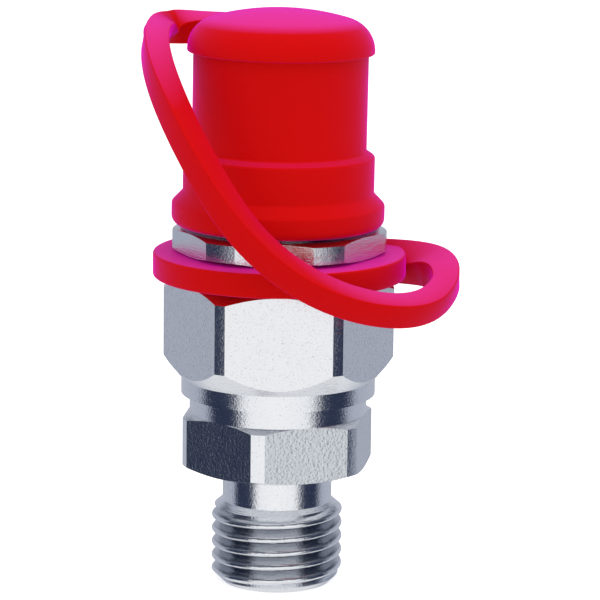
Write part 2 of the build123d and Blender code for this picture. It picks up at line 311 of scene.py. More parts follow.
@dataclass
class ThreadForm:
    """The rolled form of a right-hand thread, as a solid that a turned blank is cut down to."""

    major_radius: float
    pitch: float
    depth: float
    low: float
    high: float
    crest: float = 0.0
    profile_steps: int = 20
    steps_round: int = 120
    bisect_within: float = 1e-8
    collar_share: float = 2.4

    def build(self, open_above: bool, reach: float) -> bpy.types.Object:
        """Screws one pitch of the profile up the axis and closes it to a solid.

        Args:
            open_above: Whether the blank goes on past the thread's upper end or past its lower.
            reach: How far the solid goes on along the axis at that end, in metres.

        Returns:
            The solid.
        """
        root = self.major_radius - self.depth
        turns = math.ceil((self.high - self.low) / self.pitch) + 2
        start = self.low - self.pitch + self.crest
        bpy.ops.object.select_all(action="DESELECT")
        bpy.ops.mesh.primitive_plane_add(size=self.pitch, location=(0, 0, 0))
        form = bpy.context.active_object
        form.name = "thread_form"
        with editing(form):
            pick_all()
            bpy.ops.mesh.merge(type="CENTER")
            bpy.ops.transform.translate(value=(root, 0, start))
            radius = root
            for step in range(1, self.profile_steps + 1):
                along = step / self.profile_steps
                next_radius = root + self.depth * abs(math.sin(math.pi * along))
                extrude((next_radius - radius, 0, self.pitch / self.profile_steps))
                radius = next_radius
        apply_modifier(
            form,
            "SCREW",
            axis="Z",
            angle=2 * math.pi,
            screw_offset=self.pitch,
            iterations=turns,
            steps=self.steps_round,
            render_steps=self.steps_round,
            use_merge_vertices=True,
            merge_threshold=MERGE,
        )
        blank_end, free_end = (self.high, self.low) if open_above else (self.low, self.high)
        with editing(form):
            pick_all()
            bpy.ops.mesh.remove_doubles(threshold=MERGE)
            for height, outer in ((self.low, False), (self.high, True)):
                pick_all()
                bpy.ops.mesh.bisect(
                    plane_co=(0, 0, height),
                    plane_no=(0, 0, 1),
                    clear_inner=not outer,
                    clear_outer=outer,
                    threshold=self.bisect_within,
                )
            select_points(form, lambda co: abs(co.z - free_end) < MERGE)
            extrude((0, 0, 0))
            bpy.ops.mesh.merge(type="CENTER")
            select_points(form, lambda co: abs(co.z - blank_end) < MERGE)
            extrude((0, 0, 0))
            widen = (self.collar_share, self.collar_share, 1)
            bpy.ops.transform.resize(value=widen, center_override=(0, 0, blank_end))
            rise = reach if open_above else -reach
            extrude((0, 0, rise))
            extrude((0, 0, 0))
            bpy.ops.mesh.merge(type="CENTER")
            pick_all()
            bpy.ops.mesh.normals_make_consistent(inside=False)
        return form

    def cut(self, blank: bpy.types.Object, open_above: bool, reach: float) -> None:
        """Cuts a turned blank down to the thread's form.

        Args:
            blank: The blank, changed in place.
            open_above: Whether the blank goes on past the thread's upper end or past its lower.
            reach: How far it goes on there, in metres.
        """
        form = self.build(open_above, reach)
        apply_modifier(blank, "BOOLEAN", operation="INTERSECT", object=form, solver="EXACT")
        bpy.data.objects.remove(form)


@dataclass
class ThreadedSteel:
    """The two zinc-plated steel parts that carry threads: the port stud and the coupling body."""

    port_thread: ThreadForm = field(
        default_factory=lambda: ThreadForm(
            major_radius=7.0 * MM,
            pitch=1.5 * MM,
            depth=0.86 * MM,
            low=-14.5 * MM,
            high=-3.9 * MM,
            crest=-0.06 * MM,
        )
    )
    nose_thread: ThreadForm = field(
        default_factory=lambda: ThreadForm(
            major_radius=8.0 * MM, pitch=2.0 * MM, depth=1.1 * MM, low=27.2 * MM, high=44.5 * MM
        )
    )
    crest_land: float = 0.16 * MM
    groove_low: float = -11.5 * MM
    groove_high: float = -4.7 * MM
    stud_reach: float = 20 * MM
    body_reach: float = 22 * MM
    stud_half_flats: float = 9.4 * MM
    body_half_flats: float = 10.9 * MM
    flats_within: float = 0.02 * MM
    level_within: float = 0.02
    end_face: float = 0.98

    def build_stud(self) -> bpy.types.Object:
        """The port stud with its real thread.

        Returns:
            The finished piece.
        """
        stud = copy_of_node("port_stud", "threaded_stud")
        self.port_thread.cut(stud, open_above=True, reach=self.stud_reach)
        tidy_mesh(stud)
        return stud

    def build_body(self) -> bpy.types.Object:
        """The coupling body with the real thread of its nose.

        Returns:
            The finished piece.
        """
        body = copy_of_node("coupling_body", "threaded_body")
        self.nose_thread.cut(body, open_above=False, reach=self.body_reach)
        tidy_mesh(body)
        return body

    def shade_thread_grooves(self, piece: bpy.types.Object, material: bpy.types.Material) -> None:
        """Gives the flanks and roots of the stud's thread a darker copy of the plating, painted
        shade in the grooves.

        Args:
            piece: The stud.
            material: The darker plating, painted shade for the grooves.
        """
        piece.data.materials.append(material)
        slot = len(piece.data.materials) - 1
        crest = self.port_thread.major_radius - self.crest_land
        for face in piece.data.polygons:
            place = face.center
            inside = math.hypot(place.x, place.y) < crest and abs(face.normal.z) < self.end_face
            outward = face.normal.x * place.x + face.normal.y * place.y > 0
            if self.groove_low < place.z < self.groove_high and inside and outward:
                face.material_index = slot

    def dress_flats(
        self, piece: bpy.types.Object, half: float, material: bpy.types.Material
    ) -> None:
        """Gives the hexagon's flats of a piece a plating of their own; on the stud a darker one,
        painted shade.

        Args:
            piece: The piece.
            half: Distance of its flats from the axis, in metres.
            material: The flats' material.
        """
        piece.data.materials.append(material)
        for face in piece.data.polygons:
            level = abs(face.normal.z) < self.level_within
            off = abs(face.normal.dot(face.center) - half)
            face.material_index = int(level and off < self.flats_within)

    def dress(
        self,
        turned: bpy.types.Material,
        body_bar: bpy.types.Material,
        stud_flats_painted_shade: bpy.types.Material,
        thread_painted_shade: bpy.types.Material,
    ) -> list[bpy.types.Object]:
        """Builds both parts, gives them their plating and puts them on their body.

        Args:
            turned: Plating on turned faces.
            body_bar: Plating on the flats of the body's hexagon.
            stud_flats_painted_shade: Darker plating on the flats of the stud's hexagon, painted
                shade for their dimmer reflection.
            thread_painted_shade: Darker plating in the grooves of the stud's thread, painted shade.

        Returns:
            The two pieces.
        """
        pieces = []
        for piece, node, half, bar in (
            (self.build_stud(), "port_stud", self.stud_half_flats, stud_flats_painted_shade),
            (self.build_body(), "coupling_body", self.body_half_flats, body_bar),
        ):
            dress(piece, turned)
            self.dress_flats(piece, half, bar)
            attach(piece, Body.FITTING.value)
            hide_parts(node)
            pieces.append(piece)
        self.shade_thread_grooves(pieces[0], thread_painted_shade)
        return pieces


# Cap, ring and strap


@dataclass
class DustCap:
    """The moulded cap over the nose."""

    floor: float = 26.1 * MM
    bead_radius: float = 11.25 * MM
    bead_round: float = 0.9 * MM
    bead_land: float = 1.4 * MM
    bead_slope: float = 1.2 * MM
    lower_radius: float = 10.1 * MM
    lower_height: float = 7.4 * MM
    step_height: float = 0.6 * MM
    upper_radius: float = 9.2 * MM
    rim_radius: float = 9.85 * MM
    rim_height: float = 18.25 * MM
    rim_land: float = 0.25 * MM
    rim_round: float = 3.4 * MM
    dome_edge: float = 74.0
    mouth_radius: float = 8.9 * MM
    mouth_depth: float = 6.9 * MM
    bore_radius: float = 8.25 * MM
    ceiling: float = 44.0 * MM
    core_radius: float = 6.0 * MM
    core_height: float = 2.8 * MM
    edge_round: float = 0.16 * MM
    lean: float = 0.55
    shift: float = -0.2 * MM

    def outer_profile(self) -> list[Station]:
        """Stations of the outside, from the mouth's lip to the edge of the dome's pole.

        Returns:
            Radius and height of each station.
        """
        land_floor = self.floor + self.bead_round
        land_top = land_floor + self.bead_land
        step_floor = self.floor + self.lower_height
        rim_floor = self.floor + self.rim_height
        rim_top = rim_floor + self.rim_land
        edge = math.radians(self.dome_edge)
        dome_radius = (self.rim_radius - self.rim_round) / math.cos(edge) + self.rim_round
        dome_centre = rim_top + (self.rim_round - dome_radius) * math.sin(edge)
        bead_centre = (self.bead_radius - self.bead_round, land_floor)
        bead_arc = arc(bead_centre, self.bead_round, -90, 0, 6)
        rim_arc = arc(
            (self.rim_radius - self.rim_round, rim_top), self.rim_round, 0, self.dome_edge, 14
        )
        dome_arc = arc((0.0, dome_centre), dome_radius, self.dome_edge, 89, 8)
        return [
            *bead_arc,
            (self.bead_radius, land_top),
            (self.lower_radius, land_top + self.bead_slope),
            (self.lower_radius, step_floor),
            (self.upper_radius, step_floor + self.step_height),
            (self.upper_radius, rim_floor),
            (self.rim_radius, rim_floor),
            *rim_arc,
            *dome_arc[1:],
        ]

    def inner_profile(self) -> list[Station]:
        """Stations of the inside, from the mouth's lip to the core's ceiling.

        Returns:
            Radius and height of each station.
        """
        mouth_top = self.floor + self.mouth_depth
        return [
            (self.mouth_radius, mouth_top),
            (self.bore_radius, mouth_top),
            (self.bore_radius, self.ceiling),
            (self.core_radius, self.ceiling),
            (self.core_radius, self.ceiling + self.core_height),
        ]

    def build(self) -> bpy.types.Object:
        """Turns the cap, rounds its edges and lets it lean a little on its nose.

        Returns:
            The finished piece.
        """
        lathe = Lathe("moulded_cap", segments=192)
        lathe.start(self.mouth_radius, self.floor)
        cap = lathe.obj
        outer = self.outer_profile()
        with editing(cap):
            pick_all()
            lathe.turn(outer)
            lathe.close_on_axis(outer[-1][1])
            lathe.return_to(self.mouth_radius, self.floor)
            lathe.turn(self.inner_profile())
            lathe.close_on_axis(self.ceiling + self.core_height)
            close_up()
        round_edges(cap, self.edge_round, segments=3)
        pivot = Matrix.Translation((0, 0, self.floor))
        turn = Matrix.Rotation(math.radians(self.lean), 4, "Y")
        slide = Matrix.Translation((self.shift, 0, 0))
        cap.data.transform(slide @ pivot @ turn @ pivot.inverted())
        tidy_mesh(cap)
        return cap


@dataclass
class StrapRing:
    """The moulded ring that turns between the hexagon and the thin nut."""

    floor: float = 20.6 * MM
    thickness: float = 2.6 * MM
    outer_radius: float = 13.4 * MM
    bore_radius: float = 9.38 * MM
    edge_round: float = 0.3 * MM

    def build(self) -> bpy.types.Object:
        """Turns the ring and rounds its edges.

        Returns:
            The finished piece.
        """
        top = self.floor + self.thickness
        lathe = Lathe("moulded_ring", segments=192)
        lathe.start(self.bore_radius, self.floor)
        with editing(lathe.obj):
            pick_all()
            lathe.turn(
                [
                    (self.outer_radius, self.floor),
                    (self.outer_radius, top),
                    (self.bore_radius, top),
                    (self.bore_radius, self.floor),
                ]
            )
            close_up()
        round_edges(lathe.obj, self.edge_round, segments=5)
        tidy_mesh(lathe.obj)
        return lathe.obj


# The strap's route, as in the CAD: spline control points in millimetres, each with the direction
# that the strap's upper face looks in
STRAP_ROUTE: list[tuple[Triple, Triple]] = [
    ((-2.9, 9.0, 45.7), (0.0, -0.3, 1.0)),
    ((-9.9, 9.8, 45.8), (0.1, -0.1, 1.0)),
    ((-12.9, 9.0, 45.9), (0.2, -0.9, 0.4)),
    ((-13.0, 5.9, 45.9), (-0.1, -1.0, -0.1)),
    ((-13.4, 0.9, 45.4), (0.1, -1.0, 0.3)),
    ((-12.8, -4.8, 43.1), (0.3, -0.8, 0.5)),
    ((-10.7, -10.1, 38.9), (0.5, -0.6, 0.6)),
    ((-7.5, -14.0, 33.5), (0.5, -0.5, 0.7)),
    ((-3.8, -16.1, 27.9), (0.5, -0.3, 0.8)),
    ((1.2, -16.4, 23.5), (0.4, -0.4, 0.8)),
    ((6.8, -15.3, 20.6), (0.3, -0.4, 0.9)),
    ((12.2, -13.0, 19.2), (0.2, -0.3, 0.9)),
    ((15.9, -9.5, 19.3), (0.2, -0.4, 0.9)),
    ((17.7, -5.2, 20.8), (0.0, -0.5, 0.9)),
    ((17.8, -1.0, 22.1), (-0.1, -0.5, 0.9)),
    ((15.4, 2.8, 22.2), (-0.2, -0.6, 0.8)),
    ((10.2, 6.0, 21.8), (-0.3, -0.7, 0.7)),
]


@dataclass
class Strap:
    """The moulded strap from the cap's rim round the front to the ring."""

    width: float = 2.62 * MM
    thickness: float = 2.8 * MM
    edge_round: float = 0.18 * MM
    cuts: int = 167
    look_ahead: float = 0.25 / 56
    root_from: float = 0.84
    root_to: float = 0.93
    root_widening: float = 1.2 * MM
    root_deepening: float = 0.3 * MM
    ring_end: float = 22.2 * MM
    cap_end: float = 45.5 * MM

    @staticmethod
    def weights(position: float) -> list[float]:
        """Weights of the clamped cubic spline's control points.

        Args:
            position: Place along the strap, from 0 to 1.

        Returns:
            One weight for each control point.
        """
        spans = len(STRAP_ROUTE) - 3
        knots = [0.0] * 3 + [span / spans for span in range(spans + 1)] + [1.0] * 3
        at = min(max(position, 0.0), 1 - 1e-9)
        weights = [float(low <= at < high) for low, high in zip(knots, knots[1:])]
        for degree in (1, 2, 3):
            raised = []
            for index in range(len(weights) - 1):
                rise = knots[index + degree] - knots[index]
                fall = knots[index + degree + 1] - knots[index + 1]
                left = weights[index] * (at - knots[index]) / rise if rise else 0.0
                right = (
                    weights[index + 1] * (knots[index + degree + 1] - at) / fall if fall else 0.0
                )
                raised.append(left + right)
            weights = raised
        return weights

    def route(self, position: float, column: int) -> Vector:
        """A point of the strap's middle line, or its upper face's direction.

        Args:
            position: Place along the strap, from 0 to 1.
            column: 0 for the point in millimetres, 1 for the direction.

        Returns:
            The point or the direction.
        """
        value = Vector((0, 0, 0))
        for weight, row in zip(self.weights(position), STRAP_ROUTE):
            value += Vector(row[column]) * weight
        return value

    def section(self, position: float) -> tuple[Vector, Vector, Vector]:
        """The strap's section at a place along it.

        Args:
            position: Place along the strap, from 0 to 1.

        Returns:
            Its middle in metres, the direction across it and its upper face's normal.
        """
        ahead = self.route(min(position + self.look_ahead, 1.0), 0)
        behind = self.route(max(position - self.look_ahead, 0.0), 0)
        along = (ahead - behind).normalized()
        across = self.route(position, 1).cross(along).normalized()
        return self.route(position, 0) * MM, across, along.cross(across)

    def build(self) -> bpy.types.Object:
        """Moulds a straight bar with rounded edges and lays it along the route.

        Returns:
            The finished piece.
        """
        bpy.ops.object.select_all(action="DESELECT")
        bpy.ops.mesh.primitive_cube_add(size=1, location=(0, 0, 0.5))
        strap = bpy.context.active_object
        strap.name = "tether_strap"
        strap.scale = (self.width, self.thickness, 1)
        bpy.ops.object.transform_apply(location=True, rotation=True, scale=True)
        with editing(strap):
            bpy.ops.mesh.select_mode(type="EDGE")
            for step in ("bevel", "subdivide"):
                bpy.ops.mesh.select_all(action="DESELECT")
                mesh = bmesh.from_edit_mesh(strap.data)
                for edge in mesh.edges:
                    edge.select = abs(edge.verts[0].co.z - edge.verts[1].co.z) > 0.5
                bmesh.update_edit_mesh(strap.data)
                if step == "bevel":
                    bpy.ops.mesh.bevel(offset=self.edge_round, segments=3, affect="EDGES")
                else:
                    bpy.ops.mesh.subdivide(number_cuts=self.cuts)
            bpy.ops.mesh.select_mode(type="VERT")
        for vert in strap.data.vertices:
            middle, across, upper = self.section(vert.co.z)
            share = (vert.co.z - self.root_from) / (self.root_to - self.root_from)
            rooted = min(max(share, 0.0), 1.0)
            inward = vert.co.x + rooted * self.root_widening * (vert.co.x / self.width + 0.5)
            up = vert.co.y + rooted * self.root_deepening * (vert.co.y / self.thickness - 0.5)
            vert.co = middle + across * inward + upper * up
        tidy_mesh(strap)
        return strap


@dataclass
class Moulding:
    """Cap, ring and strap: one soft moulding that keeps the cap on the coupling."""

    cap: DustCap = field(default_factory=DustCap)
    ring: StrapRing = field(default_factory=StrapRing)
    strap: Strap = field(default_factory=Strap)

    def dress(self, finish: "MouldedFinish") -> list[bpy.types.Object]:
        """Builds the three pieces, colours them and puts the cap and the ring on their bodies.

        Args:
            finish: The plastic.

        Returns:
            The three pieces.
        """
        plastic = finish.material()
        cap, ring, strap = self.cap.build(), self.ring.build(), self.strap.build()
        for piece, node in ((cap, "dust_cap"), (ring, "strap_ring"), (strap, "cap_strap")):
            dress(piece, plastic)
            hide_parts(node)
        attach(cap, Body.CAP.value)
        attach(ring, Body.RING.value)
        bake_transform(strap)
        return [cap, ring, strap]


# Finishes


@dataclass
class NodeSheet:
    """A node tree and short ways to add to it."""

    tree: bpy.types.NodeTree

    def add(self, kind: str, **inputs: object) -> bpy.types.Node:
        """Adds a node and sets its inputs or properties.

        Args:
            kind: The node's type.
            inputs: Input values or sockets by name, with _ for a blank, or node properties.

        Returns:
            The node.
        """
        node = self.tree.nodes.new(kind)
        for key, value in inputs.items():
            if hasattr(node, key) and not isinstance(value, Socket):
                setattr(node, key, value)
            else:
                self.feed(node, **{key: value})
        return node

    def feed(self, node: bpy.types.Node, **inputs: object) -> None:
        """Sets a node's inputs.

        Args:
            node: The node.
            inputs: Values or sockets by name, with _ for a blank, or by place as i0, i1 and on.
        """
        for key, value in inputs.items():
            place = int(key[1:]) if key[1:].isdigit() else key.replace("_", " ")
            if isinstance(value, Socket):
                self.tree.links.new(value, node.inputs[place])
            else:
                node.inputs[place].default_value = value

    def math(self, operation: str, first: object, second: object = 0.0) -> Socket:
        """A sum of two numbers or sockets.

        Args:
            operation: The Math node's operation.
            first: Its first number or socket.
            second: Its second number or socket.

        Returns:
            The result.
        """
        return self.add("ShaderNodeMath", operation=operation, i0=first, i1=second).outputs[0]

    def ramp(self, value: Socket, stops: list[tuple[float, Triple]]) -> Socket:
        """A colour ramp.

        Args:
            value: The number that it reads.
            stops: Places from 0 to 1 and their colours.

        Returns:
            The colour.
        """
        node = self.add("ShaderNodeValToRGB", i0=value)
        elements = node.color_ramp.elements
        while len(elements) < len(stops):
            elements.new(0.5)
        for element, (place, colour) in zip(elements, stops):
            element.position = place
        for element, (place, colour) in zip(elements, stops):
            element.color = (*colour, 1.0)
        return node.outputs["Color"]

    def group(self, group: bpy.types.NodeTree, **inputs: object) -> bpy.types.Node:
        """Places a node group.

        Args:
            group: The group.
            inputs: Input values or sockets by name, with _ for a blank.

        Returns:
            The group's node.
        """
        return self.add("ShaderNodeGroup", node_tree=group, **inputs)

    def tint(self, share: Socket, first: Triple, second: Triple) -> Socket:
        """A mix of two colours.

        Args:
            share: Share of the second colour.
            first: The first colour.
            second: The second colour.

        Returns:
            The colour.
        """
        colours = {"i6": (*first, 1), "i7": (*second, 1)}
        return self.add("ShaderNodeMix", data_type="RGBA", i0=share, **colours).outputs[2]

    def bump(self, height: Socket, depth: float, **under: Socket) -> Socket:
        """A bumped normal.

        Args:
            height: The relief's height, from 0 to about 1.
            depth: Depth of the relief in millimetres.
            under: Normal, where it lies on another bump.

        Returns:
            The normal.
        """
        node = self.add("ShaderNodeBump", Strength=1.0, Distance=depth * MM, Height=height, **under)
        return node.outputs[0]


def new_group(name: str, inputs: dict[str, str], outputs: dict[str, str]) -> bpy.types.NodeTree:
    """An empty shader node group with its sockets.

    Args:
        name: The group's name.
        inputs: Input names and their kinds, Float, Vector or Color.
        outputs: Output names and their kinds.

    Returns:
        The group.
    """
    group = bpy.data.node_groups.new(name, "ShaderNodeTree")
    for sockets, side in ((inputs, "INPUT"), (outputs, "OUTPUT")):
        for title, kind in sockets.items():
            group.interface.new_socket(title, in_out=side, socket_type=f"NodeSocket{kind}")
    return group


class Effects:
    """Shader effects that several finishes share, each built once."""

    CELL_SCALE = 0.8
    CELL_SHARE = 0.5
    SPECKS_FROM = 0.58
    SPECKS_TO = 0.72
    _built: dict[str, bpy.types.NodeTree] = {}

    @classmethod
    def grain(cls) -> bpy.types.NodeTree:
        """Fine crystals of a plated or sand-like surface: a height and a mask of its specks.

        Returns:
            The group.
        """
        if "grain" not in cls._built:
            group = new_group(
                "surface_grain",
                {"Place": "Vector", "Size": "Float"},
                {"Height": "Float", "Specks": "Float"},
            )
            sheet = NodeSheet(group)
            given = sheet.add("NodeGroupInput")
            result = sheet.add("NodeGroupOutput")
            scale = sheet.math("DIVIDE", 1.0, given.outputs["Size"])
            fine = sheet.add(
                "ShaderNodeTexNoise",
                Vector=given.outputs["Place"],
                Scale=scale,
                Detail=3.0,
                Roughness=0.65,
            )
            cells = sheet.add(
                "ShaderNodeTexVoronoi",
                Vector=given.outputs["Place"],
                Scale=sheet.math("MULTIPLY", scale, cls.CELL_SCALE),
            )
            facets = sheet.math("MULTIPLY", cells.outputs[0], cls.CELL_SHARE)
            height = sheet.math("ADD", fine.outputs[0], facets)
            specks = sheet.add(
                "ShaderNodeMapRange",
                From_Min=cls.SPECKS_FROM,
                From_Max=cls.SPECKS_TO,
                Value=fine.outputs[0],
            )
            group.links.new(height, result.inputs["Height"])
            group.links.new(specks.outputs[0], result.inputs["Specks"])
            cls._built["grain"] = group
        return cls._built["grain"]

    @classmethod
    def tool_marks(cls) -> bpy.types.NodeTree:
        """Marks of turning and drawing, which run round the axis.

        Returns:
            The group.
        """
        if "tool_marks" not in cls._built:
            group = new_group(
                "tool_marks",
                {"Place": "Vector", "Spacing": "Float", "Length": "Float"},
                {"Height": "Float"},
            )
            sheet = NodeSheet(group)
            given = sheet.add("NodeGroupInput")
            result = sheet.add("NodeGroupOutput")
            across = sheet.math("DIVIDE", 1.0, given.outputs["Spacing"])
            around = sheet.math("DIVIDE", 1.0, given.outputs["Length"])
            scale = sheet.add("ShaderNodeCombineXYZ", X=around, Y=around, Z=across)
            stretched = sheet.add(
                "ShaderNodeVectorMath",
                operation="MULTIPLY",
                i0=given.outputs["Place"],
                i1=scale.outputs[0],
            )
            lines = sheet.add(
                "ShaderNodeTexNoise",
                Vector=stretched.outputs[0],
                Scale=1.0,
                Detail=2.0,
                Roughness=0.6,
            )
            group.links.new(lines.outputs[0], result.inputs["Height"])
            cls._built["tool_marks"] = group
        return cls._built["tool_marks"]


def new_material(name: str) -> tuple[bpy.types.Material, NodeSheet, bpy.types.Node]:
    """A material with an empty sheet, its Principled shader and its output joined.

    Args:
        name: The material's name.

    Returns:
        The material, its sheet and its shader.
    """
    material = bpy.data.materials.new(name)
    material.use_nodes = True
    material.node_tree.nodes.clear()
    sheet = NodeSheet(material.node_tree)
    shader = sheet.add("ShaderNodeBsdfPrincipled")
    output = sheet.add("ShaderNodeOutputMaterial")
    material.node_tree.links.new(shader.outputs[0], output.inputs[0])
    return material, sheet, shader


def place_in_mm(sheet: NodeSheet) -> Socket:
    """Object coordinates in millimetres.

    Args:
        sheet: The material's sheet.

    Returns:
        The place.
    """
    coordinates = sheet.add("ShaderNodeTexCoord")
    mapped = sheet.add("ShaderNodeMapping", Vector=coordinates.outputs["Object"])
    mapped.inputs["Scale"].default_value = (1 / MM, 1 / MM, 1 / MM)
    return mapped.outputs[0]


@dataclass(frozen=True)
class ZincFinish:
    """Bright zinc plating on turned steel bar."""

    name: str = "zinc_plating"
    colour: Triple = (0.86, 0.875, 0.90)
    speck_colour: Triple = (0.50, 0.52, 0.57)
    roughness: float = 0.16
    grain_size: float = 0.2
    grain_depth: float = 0.018
    mark_spacing: float = 0.14
    mark_length: float = 2.2
    mark_depth: float = 0.03
    speck_share: float = 0.6
    patch_scale: float = 0.35
    patch_dulling: float = 0.1

    def material(self) -> bpy.types.Material:
        """The plating as a material.

        Returns:
            The material.
        """
        material, sheet, shader = new_material(self.name)
        place = place_in_mm(sheet)
        grain = sheet.group(Effects.grain(), Place=place, Size=self.grain_size)
        marks = sheet.group(
            Effects.tool_marks(), Place=place, Spacing=self.mark_spacing, Length=self.mark_length
        )
        specks = sheet.math("MULTIPLY", grain.outputs["Specks"], self.speck_share)
        patches = sheet.add("ShaderNodeTexNoise", Vector=place, Scale=self.patch_scale, Detail=2.0)
        patchy = sheet.math("MULTIPLY", patches.outputs[0], self.patch_dulling)
        grained = sheet.bump(grain.outputs["Height"], self.grain_depth)
        sheet.feed(
            shader,
            Base_Color=sheet.tint(specks, self.colour, self.speck_colour),
            Roughness=sheet.math("ADD", self.roughness - self.patch_dulling / 2, patchy),
            Normal=sheet.bump(marks.outputs["Height"], self.mark_depth, Normal=grained),
            Metallic=1.0,
        )
        return material


@dataclass(frozen=True)
class MouldedFinish:
    """Soft glossy red plastic, whose upward faces carry a painted magenta reflection of the light
    from above.
    """

    name: str = "red_moulding"
    side_colour: Triple = (0.60, 0.003, 0.002)
    # Colour of faces that look up: a painted reflection, pinker than the plain red of the sides.
    painted_reflection_colour: Triple = (0.74, 0.03, 0.26)
    painted_reflection_from: float = 0.74
    sheen_tint: Triple = (1.0, 0.01, 0.75)
    sheen_roughness: float = 0.32
    specular: float = 0.03
    roughness: float = 0.5
    cloud_scale: float = 0.2
    cloud_dulling: float = 0.06
    grain_size: float = 0.5
    grain_depth: float = 0.003

    def material(self) -> bpy.types.Material:
        """The plastic as a material.

        Returns:
            The material.
        """
        material, sheet, shader = new_material(self.name)
        place = place_in_mm(sheet)
        grain = sheet.group(Effects.grain(), Place=place, Size=self.grain_size)
        normal = sheet.add("ShaderNodeNewGeometry").outputs["Normal"]
        upward = sheet.add("ShaderNodeSeparateXYZ", i0=normal).outputs["Z"]
        # Painted reflection: the base colour turns magenta on faces that look up, as if lit from
        # above.
        painted_reflection = sheet.add(
            "ShaderNodeMapRange", Value=upward, From_Min=self.painted_reflection_from, From_Max=1.0
        )
        cloud = sheet.add("ShaderNodeTexNoise", Vector=place, Scale=self.cloud_scale, Detail=1.0)
        cloudy = sheet.math("MULTIPLY", cloud.outputs[0], self.cloud_dulling)
        sheet.feed(
            shader,
            Base_Color=sheet.tint(painted_reflection.outputs[0], self.side_colour, self.painted_reflection_colour),
            Roughness=sheet.math("ADD", self.roughness - self.cloud_dulling / 2, cloudy),
            Normal=sheet.bump(grain.outputs["Height"], self.grain_depth),
            IOR=1.5,
            Specular_IOR_Level=self.specular,
            Sheen_Weight=1.0,
            Sheen_Roughness=self.sheen_roughness,
            Sheen_Tint=(*self.sheen_tint, 1),
        )
        return material


@dataclass(frozen=True)
class PlainFinish:
    """The finish of a small inner part: valve steel, rubber or white plastic."""

    name: str
    colour: Triple
    roughness: float
    metallic: float
    grain_size: float
    grain_depth: float
    variation: float = 0.12
    dulling: float = 0.08

    def material(self) -> bpy.types.Material:
        """The finish as a material.

        Returns:
            The material.
        """
        material, sheet, shader = new_material(self.name)
        place = place_in_mm(sheet)
        grain = sheet.group(Effects.grain(), Place=place, Size=self.grain_size)
        darker = tuple(channel * (1 - self.variation) for channel in self.colour)
        grained = sheet.math("MULTIPLY", grain.outputs["Height"], self.dulling)
        sheet.feed(
            shader,
            Base_Color=sheet.tint(grain.outputs["Specks"], self.colour, darker),
            Roughness=sheet.math("ADD", self.roughness - self.dulling / 2, grained),
            Normal=sheet.bump(grain.outputs["Height"], self.grain_depth),
            Metallic=self.metallic,
        )
        return material


@dataclass
class InnerParts:
    """The nut, the valve and the seals, whose CAD shapes stay and get their finishes."""

    nut: tuple[str, ...] = ("retaining_nut",)
    valve: tuple[str, ...] = ("valve_poppet", "spring_seat", "seal_bush")
    seals: tuple[str, ...] = ("body_seal", "probe_seal", "poppet_seal")
    backup: tuple[str, ...] = ("backup_ring",)
    spring_foot: float = 6.8 * MM
    spring_head: float = 18.3 * MM
    valve_finish: PlainFinish = PlainFinish(
        "valve_steel_finish", (0.62, 0.61, 0.59), 0.28, 1.0, 0.25, 0.004
    )
    rubber_finish: PlainFinish = PlainFinish(
        "seal_rubber_finish", (0.022, 0.022, 0.024), 0.5, 0.0, 0.15, 0.006
    )
    backup_finish: PlainFinish = PlainFinish(
        "backup_plastic_finish", (0.80, 0.79, 0.75), 0.45, 0.0, 0.3, 0.003
    )

    def build_spring(self) -> bpy.types.Object:
        """The valve's spring, copied from its CAD node as a piece of its own.

        Returns:
            The finished piece.
        """
        spring = copy_of_node("valve_spring", "coil_spring")
        tidy_mesh(spring)
        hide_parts("valve_spring")
        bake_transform(spring)
        return spring

    def dress(self, plating: bpy.types.Material) -> list[bpy.types.Object]:
        """Gives each node its finish.

        Args:
            plating: The zinc plating of the nut.

        Returns:
            The dressed nodes.
        """
        steel = self.valve_finish.material()
        dressed = [self.build_spring()]
        dress(dressed[0], steel)
        for names, material in (
            (self.nut, plating),
            (self.valve, steel),
            (self.seals, self.rubber_finish.material()),
            (self.backup, self.backup_finish.material()),
        ):
            for name in names:
                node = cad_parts[name]
                dress(node, material)
                dressed.append(node)
        return dressed


# Studio


